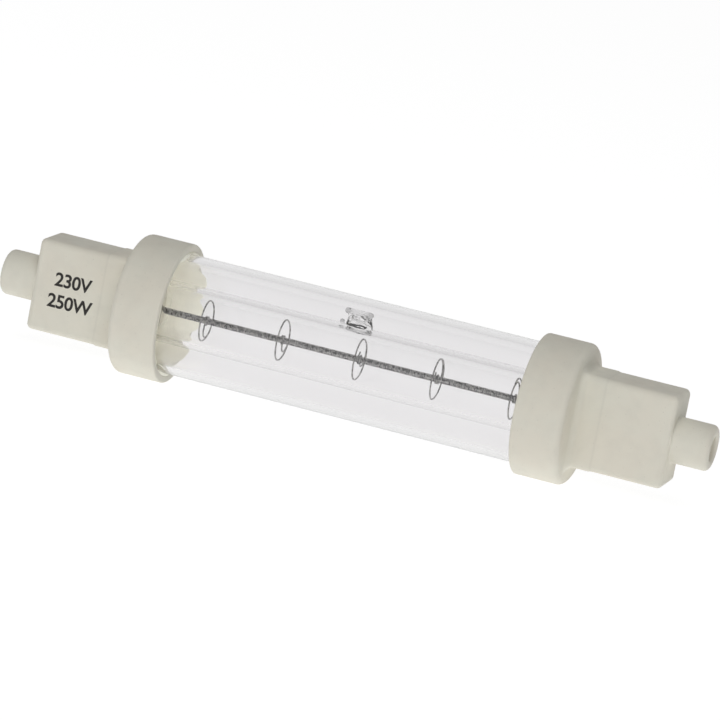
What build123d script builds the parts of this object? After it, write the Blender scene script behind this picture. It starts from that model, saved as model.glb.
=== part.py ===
"""Jacketed infrared halogen heat lamp with a ceramic cap on each end, in millimetres.

X runs along the lamp, Z is up and the broad faces of the caps' blocks look along Y. The origin is the lamp's centre.
Each piece of an end is modelled at the right, and its twin at the left is the same piece turned half round about Y.
"""
import os
from math import atan2, cos, degrees, radians, sin

from build123d import *

os.makedirs("parts", exist_ok=True)

# Whole lamp
overall_length = 117.6

# Burner: quartz tube, its pinch seals and its exhaust tip
burner_diameter = 10.0
burner_wall = 0.95
shoulder_length = 5.0
pinch_thickness = 3.2
pinch_length = 12.1
cavity_end_height = 1.0
seal_length = 2.0
tip_offset = -0.1
tip_turn = -4.0
tip_height = 2.5
tip_length = 4.0
tip_width = 2.6
tip_dome = 0.7
tip_flare = 0.8

# Filament, its leads and its spiral supports
lead_diameter = 0.7
coil_wire = 0.2
coil_inset = 1.8
spud_length = 2.5
weld_length = 1.8
weld_flat = 0.1
foil_length = 7.0
foil_width = 4.0
foil_thickness = 0.06
support_count = 5
support_margin = 6.95
support_offset = 1.1
support_diameter = 6.75
support_wire = 0.28
support_wire_sides = 6
support_grip = 0.02
grip_sweep = 280.0
loop_sweep = 320.0
support_turn = 47.0

# Outer jacket
tip_clearance = 1.0
jacket_wall = 1.15
jacket_edge = 0.3

# Ceramic cap: flange cup, block and nose
cement_gap = 0.3
cement_bed = 0.5
rim_wall = 1.3
socket_depth = 6.0
flange_length = 7.95
flange_edge = 1.1
mouth_edge = 0.3
slot_clearance = 0.4
slot_corner = 1.0
slot_end_gap = 0.5
side_wall = 2.03
face_wall = 2.3
block_length = 15.5
block_edge = 1.0
block_end_edge = 0.9
root_length = 4.0
root_step = 0.1
root_fillet = 1.2
nose_diameter = 7.3
nose_length = 6.0
nose_edge = 0.6
lead_clearance = 0.3
recess_diameter = 3.8
recess_depth = 1.7
recess_edge = 0.5

# Contact button
button_diameter = 2.8
button_length = 2.6
button_edge = 0.25
button_socket = 1.3

# Cement beads, proud of the cup's mouth at the back and level with it at the front: the notches between them by angle
# round the axis and depth
bead_proud = 1.3
bead_radius = 1.9
bead_notches = (
    (37, 0.9), (80, 0.7), (122, 0.5), (160, 0.4), (203, 0.4), (240, 0.5), (275, 0.7), (310, 0.8), (346, 0.7),
)

# Planes along the right half
nose_end = overall_length / 2
contact_face = nose_end - recess_depth
block_end = nose_end - nose_length
flange_end = block_end - block_length
mouth = flange_end - flange_length
socket_floor = mouth + socket_depth
jacket_end = socket_floor - cement_bed
shoulder_end = socket_floor
shoulder_start = shoulder_end - shoulder_length
pinch_end = shoulder_end + pinch_length
slot_end = pinch_end + slot_end_gap
cavity_end = shoulder_end - burner_wall
coil_end = cavity_end - coil_inset
support_pitch = 2 * (coil_end - support_margin) / (support_count - 1)
foil_start = cavity_end + seal_length
foil_end = foil_start + foil_length
button_back = contact_face - button_length
bead_top = mouth - bead_proud

# Radii and sections that follow from the fits
burner_radius = burner_diameter / 2
burner_bore_radius = burner_radius - burner_wall
jacket_bore_radius = burner_radius + tip_height + tip_clearance
jacket_radius = jacket_bore_radius + jacket_wall
socket_radius = jacket_radius + cement_gap
flange_radius = socket_radius + rim_wall
slot_height = burner_diameter + 2 * slot_clearance
slot_thickness = pinch_thickness + 2 * slot_clearance
block_height = slot_height + 2 * side_wall
block_thickness = slot_thickness + 2 * face_wall
lead_radius = lead_diameter / 2
coil_radius = lead_radius + coil_wire
weld_face = lead_radius - weld_flat


def pressed_tube(radius, straight_end, press_end, end, pressed_height):
    """A round bar along X whose two ends are pressed flat by tangent arcs, as a hot glass tube is."""
    half_press = pressed_height / 2
    drop = radius - half_press
    run = press_end - straight_end
    turn = 2 * degrees(atan2(drop, run))
    arc_radius = (run**2 + drop**2) / (4 * drop)
    with BuildPart() as pressed:
        with BuildSketch(Plane.YZ):
            Circle(radius)
        extrude(amount=end, both=True)
        with BuildSketch(Plane.XY):
            with BuildLine():
                top = Polyline((0, 0), (0, radius), (straight_end, radius))
                crest = JernArc(start=top @ 1, tangent=(1, 0), radius=arc_radius, arc_size=-turn)
                trough = JernArc(start=crest @ 1, tangent=crest % 1, radius=arc_radius, arc_size=turn)
                Polyline(trough @ 1, (end, half_press), (end, 0), (0, 0))
            make_face()
            mirror(about=Plane.XZ)
            mirror(about=Plane.YZ)
        extrude(amount=radius, both=True, mode=Mode.INTERSECT)
    return pressed.part


def lead_wire(start, end, weld_start, weld_end):
    """A straight round lead on the axis, with a flat for the foil on its welded length."""
    with BuildPart() as lead:
        with BuildSketch(Plane.YZ.offset(start)):
            Circle(lead_radius)
        extrude(amount=end - start)
        with BuildSketch(Plane.YZ.offset(weld_start)):
            with Locations((weld_face, 0)):
                Rectangle(lead_diameter, lead_diameter, align=(Align.MIN, Align.CENTER))
        extrude(amount=weld_end - weld_start, mode=Mode.SUBTRACT)
    return lead.part


def write_piece(piece, name, turn=0):
    """Turn a finished piece about Y, label it and write it."""
    with BuildPart() as placed:
        add(piece, rotation=(0, turn, 0))
    placed.part.label = name
    export_step(placed.part, f"parts/{name}.step")


# Leads: one from the coil into the pinch, one from the foil to the contact button
inner_lead = lead_wire(coil_end - spud_length, foil_start + weld_length, foil_start, foil_start + weld_length)
outer_lead = lead_wire(foil_end - weld_length, button_back + button_socket, foil_end - weld_length, foil_end)

# Seal foil: thin strip with feathered long edges, welded to the flats of both leads
with BuildPart() as seal_foil:
    with BuildSketch(Plane.YZ.offset(foil_start)):
        with BuildLine():
            Polyline(
                (weld_face, -foil_width / 2),
                (weld_face, foil_width / 2),
                (weld_face + foil_thickness, foil_width / 2 - foil_thickness),
                (weld_face + foil_thickness, foil_thickness - foil_width / 2),
                close=True,
            )
        make_face()
    extrude(amount=foil_length)

# Burner envelope: pressed quartz tube with its cavity, the exhaust tip and the sealed-in leads and foils
burner_cavity = pressed_tube(
    burner_bore_radius, shoulder_start, cavity_end - cavity_end_height / 2, cavity_end, cavity_end_height
)

tip_way = (0, -sin(radians(tip_turn)), cos(radians(tip_turn)))

with BuildPart() as burner_envelope:
    add(pressed_tube(burner_radius, shoulder_start, shoulder_end, pinch_end, pinch_thickness))
    with BuildSketch(Plane(origin=(tip_offset, 0, 0), x_dir=(1, 0, 0), z_dir=tip_way)):
        Ellipse(tip_length / 2, tip_width / 2)
    extrude(amount=burner_radius + tip_height)
    tip_edges = burner_envelope.edges(Select.LAST)
    fillet(tip_edges.filter_by(GeomType.ELLIPSE), tip_dome)
    fillet(tip_edges.filter_by(GeomType.BSPLINE), tip_flare)
    add(burner_cavity, mode=Mode.SUBTRACT)
    for turn in (0, 180):
        for sealed_in in (inner_lead, outer_lead, seal_foil.part):
            add(sealed_in, rotation=(0, turn, 0), mode=Mode.SUBTRACT)
write_piece(burner_envelope.part, "burner_envelope")

# Filament coil: its fine turns wind on the ends of the inner leads
with BuildPart() as filament_coil:
    with BuildSketch(Plane.YZ):
        Circle(coil_radius)
        Circle(lead_radius, mode=Mode.SUBTRACT)
    extrude(amount=coil_end, both=True)
write_piece(filament_coil.part, "filament_coil")

# Spiral supports: a tight loop grips the coil, a half turn runs out, and an open loop steadies it in the tube
grip_radius = coil_radius + support_grip + support_wire / 2
loop_radius = (support_diameter - support_wire) / 2
runout_radius = (grip_radius + loop_radius) / 2
runout_centre = (grip_radius - loop_radius) / 2

for number in range(support_count):
    station = support_offset + (number - (support_count - 1) / 2) * support_pitch
    with BuildPart() as support:
        with BuildLine(Plane.YZ.offset(station)) as spiral:
            CenterArc((0, 0), grip_radius, -grip_sweep, grip_sweep)
            CenterArc((runout_centre, 0), runout_radius, 0, 180)
            CenterArc((0, 0), loop_radius, 180, loop_sweep)
        with BuildSketch(Plane(origin=spiral.line @ 0, z_dir=spiral.line % 0)):
            RegularPolygon(support_wire / 2, support_wire_sides)
        sweep(path=spiral.line)
    with BuildPart() as filament_support:
        add(support.part, rotation=(number * support_turn, 0, 0))
    write_piece(filament_support.part, f"filament_support_{number + 1}")

# Outer jacket: open glass tube with its ends ground off at the edges
with BuildPart() as outer_jacket:
    with BuildSketch(Plane.YZ):
        Circle(jacket_radius)
        Circle(jacket_bore_radius, mode=Mode.SUBTRACT)
    extrude(amount=jacket_end, both=True)
    chamfer(outer_jacket.edges().filter_by(GeomType.CIRCLE), jacket_edge)
write_piece(outer_jacket.part, "outer_jacket")

# End cap: flange cup, block with a slightly larger root, and nose, moulded as one
with BuildPart() as end_cap:
    with BuildSketch(Plane.YZ.offset(mouth)):
        Circle(flange_radius)
    extrude(amount=flange_length)
    fillet(end_cap.edges().sort_by(Axis.X)[-1], flange_edge)
    with BuildSketch(Plane.YZ.offset(flange_end)):
        RectangleRounded(block_thickness, block_height, block_edge)
    extrude(amount=block_length)
    block_tip = end_cap.faces().filter_by(GeomType.PLANE).sort_by(Axis.X)[-1]
    fillet(block_tip.edges(), block_end_edge)
    with BuildSketch(Plane.YZ.offset(flange_end)):
        RectangleRounded(block_thickness + 2 * root_step, block_height + 2 * root_step, block_edge + root_step)
    extrude(amount=root_length)
    root_edges = end_cap.edges(Select.LAST).filter_by_position(Axis.X, flange_end, flange_end)
    fillet(root_edges, root_fillet)
    with BuildSketch(Plane.YZ.offset(block_end)):
        Circle(nose_diameter / 2)
    extrude(amount=nose_length)
    chamfer(end_cap.edges(Select.LAST).sort_by(Axis.X)[-1], nose_edge)
    with BuildSketch(Plane.YZ.offset(mouth)):
        Circle(socket_radius)
    extrude(amount=socket_depth, mode=Mode.SUBTRACT)
    mouth_rims = end_cap.edges().filter_by(GeomType.CIRCLE).filter_by_position(Axis.X, mouth, mouth)
    chamfer(mouth_rims, mouth_edge)
    with BuildSketch(Plane.YZ.offset(socket_floor)):
        RectangleRounded(slot_thickness, slot_height, slot_corner)
    extrude(amount=slot_end - socket_floor, mode=Mode.SUBTRACT)
    with BuildSketch(Plane.YZ.offset(slot_end)):
        Circle(lead_radius + lead_clearance)
    extrude(amount=button_back - slot_end, mode=Mode.SUBTRACT)
    with BuildSketch(Plane.YZ.offset(button_back)):
        Circle(button_diameter / 2)
    extrude(amount=button_length, mode=Mode.SUBTRACT)
    with BuildSketch(Plane.YZ.offset(contact_face)):
        Circle(recess_diameter / 2)
    extrude(amount=nose_end - contact_face, mode=Mode.SUBTRACT)
    recess_rim = end_cap.edges().filter_by(GeomType.CIRCLE).filter_by_position(Axis.X, nose_end, nose_end)
    chamfer(recess_rim.sort_by(SortBy.RADIUS)[0], recess_edge)

# Contact button: turned metal slug with a back hole for the lead
with BuildPart() as contact_button:
    with BuildSketch(Plane.YZ.offset(button_back)):
        Circle(button_diameter / 2)
    extrude(amount=button_length)
    chamfer(contact_button.edges().sort_by(Axis.X)[-1], button_edge)
    with BuildSketch(Plane.YZ.offset(button_back)):
        Circle(lead_radius)
    extrude(amount=button_socket, mode=Mode.SUBTRACT)

# Jacket cement: ring between jacket and cup with a bed under the glass, its front edge scalloped into beads
with BuildPart() as jacket_cement:
    with BuildSketch(Plane.YZ.offset(bead_top)):
        Circle(socket_radius)
        Circle(jacket_radius, mode=Mode.SUBTRACT)
    extrude(amount=jacket_end - bead_top)
    with BuildSketch(Plane.YZ.offset(jacket_end)):
        Circle(socket_radius)
        Circle(jacket_bore_radius, mode=Mode.SUBTRACT)
    extrude(amount=cement_bed)
    with BuildSketch(Plane.XY):
        with BuildLine():
            Polyline(
                (bead_top, socket_radius), (mouth, -socket_radius), (bead_top, -socket_radius), close=True
            )
        make_face()
    extrude(amount=socket_radius, both=True, mode=Mode.SUBTRACT)
    for angle, depth in bead_notches:
        front = mouth - bead_proud * (1 + cos(radians(angle))) / 2
        notch_plane = Plane(
            origin=(front + depth - bead_radius, 0, 0),
            x_dir=(1, 0, 0),
            z_dir=(0, cos(radians(angle)), sin(radians(angle))),
        )
        with BuildSketch(notch_plane):
            Circle(bead_radius)
        extrude(amount=socket_radius + cement_gap, mode=Mode.SUBTRACT)

# Pinch cement: fills the block's slot round the pinch seal and the outer lead
with BuildPart() as pinch_cement:
    with BuildSketch(Plane.YZ.offset(socket_floor)):
        RectangleRounded(slot_thickness, slot_height, slot_corner)
    extrude(amount=slot_end - socket_floor)
    add(burner_envelope.part, mode=Mode.SUBTRACT)
    for sealed_in in (inner_lead, outer_lead, seal_foil.part):
        add(sealed_in, mode=Mode.SUBTRACT)

end_pieces = {
    "inner_lead": inner_lead,
    "outer_lead": outer_lead,
    "seal_foil": seal_foil.part,
    "end_cap": end_cap.part,
    "contact_button": contact_button.part,
    "jacket_cement": jacket_cement.part,
    "pinch_cement": pinch_cement.part,
}
for side, turn in (("right", 0), ("left", 180)):
    for name, piece in end_pieces.items():
        write_piece(piece, f"{side}_{name}", turn)
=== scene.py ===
"""Finished pieces and finishes of a jacketed infrared halogen heat lamp, modelled round its CAD frame.

All lengths are in metres. X runs along the lamp, Z is up and the caps' broad faces look along Y.
"""

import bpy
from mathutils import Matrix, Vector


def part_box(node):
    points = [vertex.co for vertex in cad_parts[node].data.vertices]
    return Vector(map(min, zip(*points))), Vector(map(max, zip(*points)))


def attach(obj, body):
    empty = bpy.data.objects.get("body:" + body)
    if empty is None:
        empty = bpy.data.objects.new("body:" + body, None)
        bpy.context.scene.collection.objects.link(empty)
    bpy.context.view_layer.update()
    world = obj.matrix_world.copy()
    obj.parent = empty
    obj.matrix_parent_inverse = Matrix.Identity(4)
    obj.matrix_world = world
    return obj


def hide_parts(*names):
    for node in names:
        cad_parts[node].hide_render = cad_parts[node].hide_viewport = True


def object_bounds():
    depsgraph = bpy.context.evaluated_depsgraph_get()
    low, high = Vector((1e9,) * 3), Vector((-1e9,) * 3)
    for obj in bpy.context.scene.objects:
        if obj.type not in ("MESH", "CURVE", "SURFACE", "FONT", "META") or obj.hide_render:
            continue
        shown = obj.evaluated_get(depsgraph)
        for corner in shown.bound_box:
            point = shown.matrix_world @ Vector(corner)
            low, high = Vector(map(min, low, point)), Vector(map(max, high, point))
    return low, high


bl_info = {
    "name": "Halogen Heat Lamp",
    "version": (1, 0, 0),
    "blender": (4, 5, 0),
    "location": "View3D > Sidebar > Heat Lamp",
    "description": "Models the glass, filament, caps and finishes of a jacketed halogen heat lamp",
    "category": "Add Mesh",
}

from math import atan2, cos, pi, radians, sin, tau

import bmesh
import bpy
from bpy.props import FloatProperty, FloatVectorProperty, PointerProperty, StringProperty
from mathutils import Matrix, Vector

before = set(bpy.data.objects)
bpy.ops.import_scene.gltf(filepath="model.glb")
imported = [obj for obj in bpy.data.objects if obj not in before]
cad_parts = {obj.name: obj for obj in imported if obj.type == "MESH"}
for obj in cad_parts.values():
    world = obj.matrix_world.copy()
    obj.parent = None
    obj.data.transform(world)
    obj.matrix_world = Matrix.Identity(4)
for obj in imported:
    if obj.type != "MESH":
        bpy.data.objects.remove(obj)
cad_low, cad_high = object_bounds()

BODY = "root"
MM = 0.001
PICTURE_SIDE = 720
BOUNCES = 24
WHITE = (1.0, 1.0, 1.0, 1.0)
BLACK = (0.0, 0.0, 0.0, 1.0)

# How near points are merged, how far a cutter overlaps, and how squarely a face looks along an axis
MERGE = 0.5e-6
CUT_OVERLAP = 1.0 * MM
FACING = 0.9

# Tints that clay and ink vary to
WARM_CLAY = (0.76, 0.66, 0.55, 1.0)
SHADED_CLAY = (0.45, 0.44, 0.40, 1.0)
CLAY_PITS = (0.36, 0.33, 0.28, 1.0)
WORN_INK = (0.30, 0.29, 0.25, 1.0)

# Places read from the frame
jacket_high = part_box("outer_jacket")[1]
burner_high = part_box("burner_envelope")[1]
coil_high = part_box("filament_coil")[1]
cap_low, cap_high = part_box("right_end_cap")
cement_low, cement_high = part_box("right_jacket_cement")
button_low, button_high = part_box("right_contact_button")
support_names = sorted(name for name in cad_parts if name.startswith("filament_support"))

# Front of the cement from the rim to the glass: share of its reach, then place across its gap
CEMENT_FRONT = ((0.0, 1.4), (0.3, 1.1), (0.65, 0.7), (0.92, 0.3), (1.0, 0.06), (0.97, 0.0))

# Notches between the beads of cement: angle round the axis in degrees, then depth in millimetres
BEAD_NOTCHES = (
    (37, 0.9), (80, 0.7), (122, 0.5), (160, 0.4), (203, 0.4), (240, 0.5), (275, 0.7), (310, 0.8), (346, 0.7),
)

# Sections of the exhaust tip: share of its height, then half length and half thickness in tip radii
TIP_SHAPE = (
    (0.03, 1.46, 1.26), (0.10, 1.40, 1.08), (0.25, 1.36, 0.92), (0.45, 1.34, 0.72), (0.60, 1.34, 0.48),
    (0.70, 1.36, 0.30), (0.78, 1.40, 0.27), (0.88, 1.42, 0.31), (0.95, 1.36, 0.26), (0.99, 1.26, 0.15),
    (1.0, 1.15, 0.06),
)


# Settings

def length(name, description, default):
    """A size in metres."""
    return FloatProperty(
        name=name, description=description, default=default, min=0.0, precision=6, unit="LENGTH"
    )


def angle(name, description, default):
    """An angle, given in degrees and kept in radians."""
    return FloatProperty(name=name, description=description, default=radians(default), unit="ROTATION")


def colour(name, description, default):
    """A linear colour."""
    return FloatVectorProperty(
        name=name, description=description, default=default, size=3, min=0.0, max=1.0, subtype="COLOR"
    )


def direction(name, description, default):
    """A direction from the lamp."""
    return FloatVectorProperty(
        name=name, description=description, default=default, size=3, subtype="DIRECTION"
    )


def number(name, description, default):
    """A plain value."""
    return FloatProperty(name=name, description=description, default=default)


class GlassSizes(bpy.types.PropertyGroup):
    """Sizes of the outer jacket and the quartz burner."""

    jacket_radius: length("Jacket radius", "Outer radius of the jacket tube", jacket_high.z)
    jacket_half: length("Jacket half length", "From the lamp's middle to the jacket's end", jacket_high.x)
    jacket_wall: length("Jacket wall", "Thickness of the jacket's glass", 1.15 * MM)
    jacket_edge: length("Jacket edge", "Rounding of the jacket's cut ends", 0.3 * MM)
    burner_radius: length("Burner radius", "Outer radius of the quartz tube", burner_high.y)
    burner_half: length(
        "Burner half length", "From the lamp's middle to the end of a pinch seal", burner_high.x
    )
    burner_wall: length("Burner wall", "Thickness of the quartz wall", 0.95 * MM)
    pinch_half: length(
        "Pinch half thickness", "From the middle plane to the flat of a pinch seal", 1.6 * MM
    )
    pinch_length: length("Pinch length", "Length of the flat part of a pinch seal", 12.1 * MM)
    shoulder_length: length("Shoulder length", "Length over which the tube is pressed flat", 5.0 * MM)
    cavity_half: length(
        "Cavity end half height", "Half height of the cavity where the seal starts", 0.5 * MM
    )
    tip_guard: length("Tip guard", "From the lamp's middle to the rings cut beside the tip", 3.4 * MM)
    shoulder_guard: length("Shoulder guard", "From a shoulder to the ring cut before it", 0.5 * MM)
    tip_place: FloatProperty(
        name="Tip place", description="Exhaust tip along the lamp", default=-0.1 * MM, unit="LENGTH"
    )
    tip_turn: angle("Tip turn", "Lean of the exhaust tip from upright to the front", -4.0)
    tip_height: length("Tip height", "Exhaust tip above the tube", 2.5 * MM)
    tip_radius: length("Tip radius", "Radius of the exhaust tip's stem", 1.5 * MM)
    tip_drift: length("Tip drift", "How far the tip's seam stands to the left of its foot", 0.45 * MM)
    tip_rough: length("Tip roughness", "How far the worked glass of the tip wanders", 0.2 * MM)
    tip_waist: number("Tip waist", "Share of the tip's height where its uneven part starts", 0.08)
    tip_shoulder: number("Tip shoulder", "Share of the tip's height where its uneven part ends", 0.8)
    channel_shape: FloatVectorProperty(
        name="Channel shape", description="Half sizes of the hollow in the tip, in tip radii",
        default=(1.22, 0.8, 0.7), size=3, subtype="XYZ",
    )
    channel_drop: number("Channel drop", "Middle of the hollow below the tube's top, in tip heights", 0.06)
    knob_radius: length("Knob radius", "Radius of the rounded ends of the tip's seam", 0.46 * MM)
    knob_reach: length("Knob reach", "From the tip's middle to the knobs' middles", 1.9 * MM)
    drop_radius: length("Drop radius", "Radius of the drop of glass beside the tip's foot", 0.42 * MM)
    drop_reach: length("Drop reach", "From the tip's middle to the drop", 2.9 * MM)
    # Where the painted shade on the exhaust tip's seam starts, fills and pales.
    shade_start: number("Grey start", "Share of the tip's height where its greyed part starts", 0.5)
    shade_full: number("Grey full", "Share of the tip's height from which it is greyed in full", 0.75)
    shade_middle: number("Grey middle", "Share of the grey at the middle of the tip's seam", 0.4)
    shade_span: number("Grey span", "Share of the knobs' reach that the paler middle takes up", 0.4)
    drop_edge: number("Drop edge", "Share of the drop's radius where its grey starts to fade", 0.9)


class WireSizes(bpy.types.PropertyGroup):
    """Sizes of the filament and its supports."""

    coil_radius: length("Coil radius", "Outer radius of the filament coil", coil_high.z)
    coil_half: length("Coil half length", "From the lamp's middle to the end of the coil", coil_high.x)
    coil_wire: length("Coil wire", "Thickness of the wound strand", 0.2 * MM)
    coil_strand: length("Coil strand", "Width of the wound strand along the lamp", 0.26 * MM)
    coil_pitch: length("Coil pitch", "Advance of one turn", 0.32 * MM)
    support_wire: length("Support wire", "Thickness of the support wire", 0.25 * MM)
    grip_turns: number("Grip turns", "Turns of a support round the coil", 1.4)
    grip_pitch: length("Grip pitch", "Advance of one turn of the grip", 0.34 * MM)
    support_turn: angle("Support turn", "Turn from one support to the next", 47.0)
    support_runout: number("Support run out", "Turns over which the grip opens into the loop", 0.5)
    support_loop: number("Support loop", "Turns of the open loop", 0.93)
    tail_run: length("Tail run", "Reach of a support's tail along its first turn", 0.64 * MM)
    tail_lift: length("Tail lift", "Lift of a support's tail off the coil", 0.28 * MM)


class CapSizes(bpy.types.PropertyGroup):
    """Sizes of a ceramic cap, its cement and its contact."""

    mouth: length("Mouth", "Plane of the cup's mouth", cap_low.x)
    nose_end: length("Nose end", "Plane of the nose's end", cap_high.x)
    flange_radius: length("Flange radius", "Outer radius of the flange", cap_high.z)
    flange_length: length("Flange length", "From the mouth to the back of the flange", 7.95 * MM)
    flange_edge: length("Flange edge", "Rounding of the flange's back edge", 1.1 * MM)
    mouth_edge: length("Mouth edge", "Rounding of the mouth", 0.35 * MM)
    socket_radius: length("Socket radius", "Radius of the cup", cement_high.z)
    socket_depth: length("Socket depth", "Depth of the cup", 6.0 * MM)
    block_height: length("Block height", "Height of the block", 14.86 * MM)
    block_thickness: length("Block thickness", "Thickness of the block", 8.6 * MM)
    block_edge: length("Block edge", "Rounding of the block's long edges", 1.0 * MM)
    block_end_edge: length("Block end edge", "Rounding of the block's end", 0.9 * MM)
    root_length: length("Root length", "Length of the block's thicker root", 4.0 * MM)
    root_step: length("Root step", "How far the root stands proud of the block", 0.1 * MM)
    # Painted shade: half width of the dark line at the root's step.
    shade_line_width: length("Crease width", "Half width of the shadowed crease at the root's end", 0.3 * MM)
    root_slope: length("Root slope", "Length over which the root eases onto the block", 0.3 * MM)
    root_fillet: length("Root fillet", "Fillet between the root and the flange", 1.2 * MM)
    nose_radius: length("Nose radius", "Radius of the nose", 3.65 * MM)
    nose_length: length("Nose length", "From the block to the nose's end", 6.0 * MM)
    nose_edge: length("Nose edge", "Rounding of the nose's end", 0.85 * MM)
    nose_fillet: length("Nose fillet", "Fillet between the nose and the block", 0.35 * MM)
    recess_radius: length("Recess radius", "Radius of the recess in the nose", 1.9 * MM)
    recess_edge: length("Recess edge", "Rounding of the recess's lip", 0.5 * MM)
    recess_depth: length("Recess depth", "Depth of the recess in the nose", 1.7 * MM)
    slot_height: length("Slot height", "Height of the slot for the pinch seal", 10.8 * MM)
    slot_thickness: length("Slot thickness", "Thickness of the slot for the pinch seal", 4.0 * MM)
    slot_depth: length("Slot depth", "Depth of the slot below the cup", 12.6 * MM)
    slot_corner: length("Slot corner", "Rounding of the slot's corners", 1.0 * MM)
    lead_hole: length("Lead hole", "Radius of the hole for the lead", 0.65 * MM)
    bead_recess: length("Bead recess", "Front edge of the cement inside the cup at the front", 0.45 * MM)
    glass_gap: length("Glass gap", "Gap between the cement and the jacket", 0.012 * MM)
    button_edge: length("Button edge", "Rounding of the contact's face", 0.3 * MM)
    dimple_radius: length("Dimple radius", "Radius of the contact's dimple", 0.5 * MM)
    dimple_wall: length("Dimple wall", "Depth of the dimple's sloping wall", 0.12 * MM)
    dimple_depth: length("Dimple depth", "Depth of the dimple's middle", 0.15 * MM)
    dimple_floor: number("Dimple floor", "Share of the dimple's radius at the foot of its wall", 0.6)
    crest_band: length("Crest band", "Width of the cement's front edge that a notch takes hold of", 0.1 * MM)
    notch_cosine: number("Notch cosine", "Cosine of the angle that a notch takes hold of to a side", 0.9996)
    notch_reach: length("Notch reach", "How far round it a notch draws the cement back", 2.2 * MM)
    print_height: length("Print height", "Height of the rating's capitals", 2.12 * MM)
    print_cap_share: number("Print cap share", "Share of the font's body that its capitals fill", 0.7)
    print_line: length("Print line", "From one line of the rating to the next", 3.5 * MM)
    print_spacing: number("Print spacing", "Share of the font's own spacing between characters", 0.95)
    print_weight: length("Print weight", "How far the strokes are thickened", 0.065 * MM)
    print_drop: length("Print drop", "Middle of the rating below the axis", 0.28 * MM)
    print_offset: length("Print offset", "From the flange to the middle of the rating", 8.9 * MM)
    print_depth: length("Print depth", "Thickness of the printed film", 0.015 * MM)
    rating: StringProperty(
        name="Rating", description="Printed rating, one line over the other", default="230V\n250W"
    )


class LampColours(bpy.types.PropertyGroup):
    """Colours of the lamp's materials."""

    ceramic: colour("Ceramic", "Fired ceramic of the caps", (0.775, 0.755, 0.658))
    cement: colour("Cement", "Cement in the cups", (0.91, 0.90, 0.79))
    jacket: colour("Jacket", "Glass of the jacket", (0.985, 0.978, 0.983))
    quartz: colour("Quartz", "Glass of the burner", (1.0, 1.0, 1.0))
    # Painted shade: grey tint for the darker look of the exhaust tip's seam and drop.
    tip_shade_colour: colour("Shaded quartz", "Seam of the exhaust tip, greyed by the flame", (0.55, 0.55, 0.55))
    tungsten: colour("Tungsten", "Filament and supports", (0.50, 0.49, 0.48))
    molybdenum: colour("Molybdenum", "Leads and foils", (0.50, 0.49, 0.47))
    nickel: colour("Nickel", "Contacts", (0.74, 0.72, 0.67))
    ink: colour("Ink", "Printed rating", (0.012, 0.010, 0.008))


class StageSettings(bpy.types.PropertyGroup):
    """Camera, floor and lights."""

    distance: length("Distance", "Camera from the lamp's middle", 0.83)
    lens: number("Lens", "Focal length in millimetres on a 36 mm sensor", 265.9)
    azimuth: angle("Azimuth", "Camera's place to the right of the front", 15.2)
    elevation: angle("Elevation", "Camera's height", 12.0)
    roll: angle("Roll", "Lean of the camera", 10.95)
    aim_right: number("Aim right", "Pixels from the lamp's middle to the picture's, to the right", 5.8)
    aim_up: number("Aim up", "Pixels from the lamp's middle to the picture's, upward", -1.8)
    floor_size: length("Floor size", "Side of the floor", 6.0)
    floor_glow: number("Floor glow", "Light given off by the floor", 0.92)
    floor_through: number(
        "Floor through glass", "Light given off by the floor to what looks through glass", 0.74
    )
    floor_fill: number("Floor fill", "Light given off by the floor to dull surfaces", 0.88)
    floor_shade: number("Floor shade", "Share of light that the floor returns", 0.25)
    world_fill: number("World fill", "Light from all round", 0.09)
    world_level: number("World level", "Brightness that glass and metal see at eye level", 0.83)
    world_top: number("World top", "Brightness that glass and metal see overhead", 0.58)
    key_power: number("Key power", "Power of the soft light in watts", 5.5)
    key_way: direction("Key way", "Where the soft light stands", (0.1, -0.55, 0.83))
    cup_power: number("Cup power", "Power of the light on the cement alone in watts", 5.4)
    cup_way: direction("Cup way", "Where the light on the cement stands", (0.25, -0.95, 0.12))
    light_size: length("Light size", "Side of each light", 0.9)
    fade_start: number("Fade start", "Height on a unit sphere where the world starts to fade", 0.15)
    fade_end: number("Fade end", "Height on a unit sphere where the world has faded", 0.9)


# Tools for shapes

def deselect():
    """Leave edit mode and deselect everything."""
    if bpy.context.mode != "OBJECT":
        bpy.ops.object.mode_set(mode="OBJECT")
    bpy.ops.object.select_all(action="DESELECT")


def choose(piece):
    """Make one piece active and the only one selected."""
    deselect()
    bpy.context.view_layer.objects.active = piece
    piece.select_set(True)


def edit(piece):
    """Open one piece in edit mode."""
    choose(piece)
    bpy.ops.object.mode_set(mode="EDIT")


def close(piece, name=None):
    """Leave edit mode with the piece's place in its mesh."""
    choose(piece)
    bpy.ops.object.transform_apply(location=True, rotation=True, scale=True)
    if name:
        piece.name = name
        piece.data.name = name
    return piece


def pick(kind, test):
    """In edit mode, select only the verts, edges or faces whose middle passes a test."""
    bpy.ops.mesh.select_mode(type={"verts": "VERT", "edges": "EDGE", "faces": "FACE"}[kind])
    bpy.ops.mesh.select_all(action="DESELECT")
    form = bmesh.from_edit_mesh(bpy.context.object.data)
    chosen = 0
    for part in getattr(form, kind):
        if kind == "verts":
            passes = test(part.co)
        elif kind == "edges":
            passes = test(part.verts[0].co, part.verts[1].co)
        else:
            passes = test(part.calc_center_median(), part.normal)
        if passes:
            part.select_set(True)
            chosen += 1
    form.select_flush_mode()
    bmesh.update_edit_mesh(bpy.context.object.data)
    if not chosen:
        raise RuntimeError(f"nothing was selected on {bpy.context.object.name}")
    return chosen


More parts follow.
